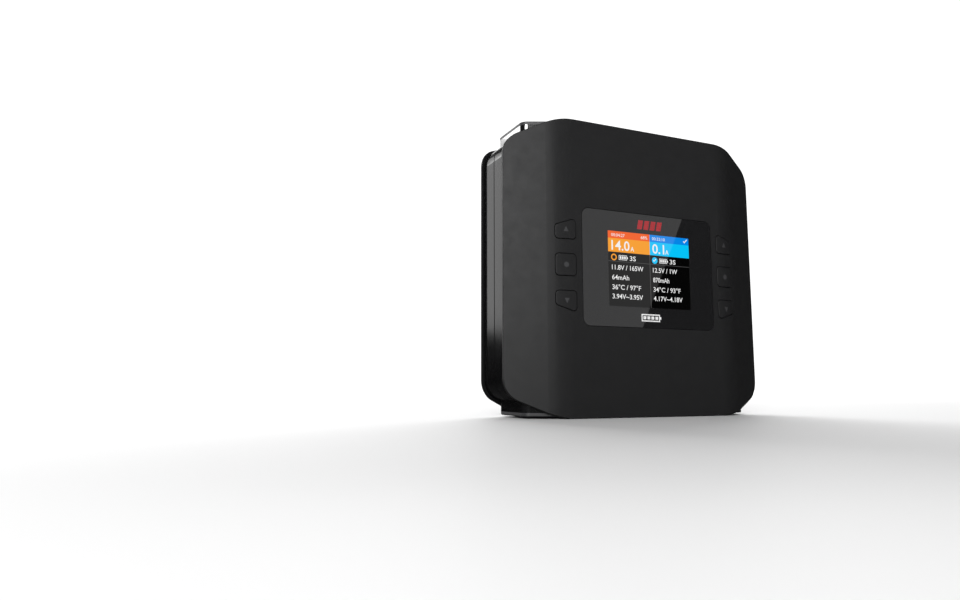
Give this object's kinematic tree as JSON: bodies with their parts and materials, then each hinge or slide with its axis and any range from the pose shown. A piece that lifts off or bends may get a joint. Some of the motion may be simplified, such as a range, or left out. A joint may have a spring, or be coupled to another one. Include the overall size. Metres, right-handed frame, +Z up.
{
  "type": "balance battery charger",
  "caption": "Flat two-channel battery charger with dished covers, centre screen, side buttons, honeycomb connector end and cooling fans.",
  "frame": {"origin": "centre of the standing charger's footprint, at the level of the surface it stands on", "axes": "+X across the width, +Y from the screen towards the rear, +Z up along the length, from the input end to the output end"},
  "size_m": [0.178, 0.0554, 0.168],
  "materials": {
    "cover_black": "fine moulded texture, soft matte",
    "housing_black": "semi-gloss moulded",
    "faceplate_grey": "matte moulded with broken edges",
    "button_black": "fine moulded texture",
    "nylon_amber": "translucent amber nylon",
    "gold_pins": "gold plated",
    "connector_black": "glass-filled nylon",
    "tinned_pins": "tinned",
    "steel": "plain steel",
    "black_screws": "black oxide",
    "display_glass": "gloss with black printed border",
    "lcd_panel": "gloss",
    "board_green": "solder resist",
    "fan_black": "moulded",
    "ribbon": "polyimide film",
    "aluminium": "extruded",
    "ferrite": "sintered ferrite",
    "copper": "enamelled copper wire",
    "capacitor_sleeve": "sleeved aluminium can",
    "rubber": "matte rubber"
  },
  "bodies": {
    "case": {"front_cover": "cover_black", "rear_cover": "cover_black", "front_housing": "housing_black", "rear_housing": "housing_black", "output_end_block": "housing_black", "input_end_block": "housing_black", "output_faceplate": "faceplate_grey", "input_faceplate": "faceplate_grey", "left_output_socket": "nylon_amber", "right_output_socket": "nylon_amber", "dc_input_socket": "nylon_amber", "left_output_pins": "gold_pins", "right_output_pins": "gold_pins", "dc_input_pins": "gold_pins", "left_balance_header": "connector_black", "right_balance_header": "connector_black", "left_balance_pins": "tinned_pins", "right_balance_pins": "tinned_pins", "usb_port": "steel", "connector_board": "board_green", "mains_inlet": "connector_black", "mains_blades": "tinned_pins", "left_fan_frame": "fan_black", "right_fan_frame": "fan_black", "fan_screws": "black_screws", "case_screws": "black_screws", "board_screws": "steel", "display_glass": "display_glass", "lcd_panel": "lcd_panel", "lcd_bracket": "fan_black", "display_board": "board_green", "tact_switches": "connector_black", "display_ribbon": "ribbon", "power_board": "board_green", "charge_board": "board_green", "insulation_sheet": "ribbon", "left_heatsink": "aluminium", "right_heatsink": "aluminium", "power_transistors": "connector_black", "transformer_core": "ferrite", "transformer_winding": "copper", "bulk_capacitors": "capacitor_sleeve", "output_capacitors": "capacitor_sleeve", "output_inductors": "copper", "rubber_feet": "rubber"},
    "left_up_button": {"left_up_button": "button_black"},
    "left_select_button": {"left_select_button": "button_black"},
    "left_down_button": {"left_down_button": "button_black"},
    "right_up_button": {"right_up_button": "button_black"},
    "right_select_button": {"right_select_button": "button_black"},
    "right_down_button": {"right_down_button": "button_black"},
    "left_fan_rotor": {"left_fan_rotor": "fan_black"},
    "right_fan_rotor": {"right_fan_rotor": "fan_black"}
  },
  "joints": [
    {"name": "left_up_button_press", "type": "slide", "parent": "case", "child": "left_up_button", "axis": [0, 1, 0], "range_m": [0, 0.0008], "stiffness_N_per_m": 1500, "springref_m": -0.0002},
    {"name": "left_select_button_press", "type": "slide", "parent": "case", "child": "left_select_button", "axis": [0, 1, 0], "range_m": [0, 0.0008], "stiffness_N_per_m": 1500, "springref_m": -0.0002},
    {"name": "left_down_button_press", "type": "slide", "parent": "case", "child": "left_down_button", "axis": [0, 1, 0], "range_m": [0, 0.0008], "stiffness_N_per_m": 1500, "springref_m": -0.0002},
    {"name": "right_up_button_press", "type": "slide", "parent": "case", "child": "right_up_button", "axis": [0, 1, 0], "range_m": [0, 0.0008], "stiffness_N_per_m": 1500, "springref_m": -0.0002},
    {"name": "right_select_button_press", "type": "slide", "parent": "case", "child": "right_select_button", "axis": [0, 1, 0], "range_m": [0, 0.0008], "stiffness_N_per_m": 1500, "springref_m": -0.0002},
    {"name": "right_down_button_press", "type": "slide", "parent": "case", "child": "right_down_button", "axis": [0, 1, 0], "range_m": [0, 0.0008], "stiffness_N_per_m": 1500, "springref_m": -0.0002},
    {"name": "left_fan_spin", "type": "hinge", "parent": "case", "child": "left_fan_rotor", "pos_m": [-0.039, -0.00013, 0.0112], "axis": [0, 0, 1], "continuous": true},
    {"name": "right_fan_spin", "type": "hinge", "parent": "case", "child": "right_fan_rotor", "pos_m": [0.039, -0.00013, 0.0112], "axis": [0, 0, 1], "continuous": true}
  ]
}
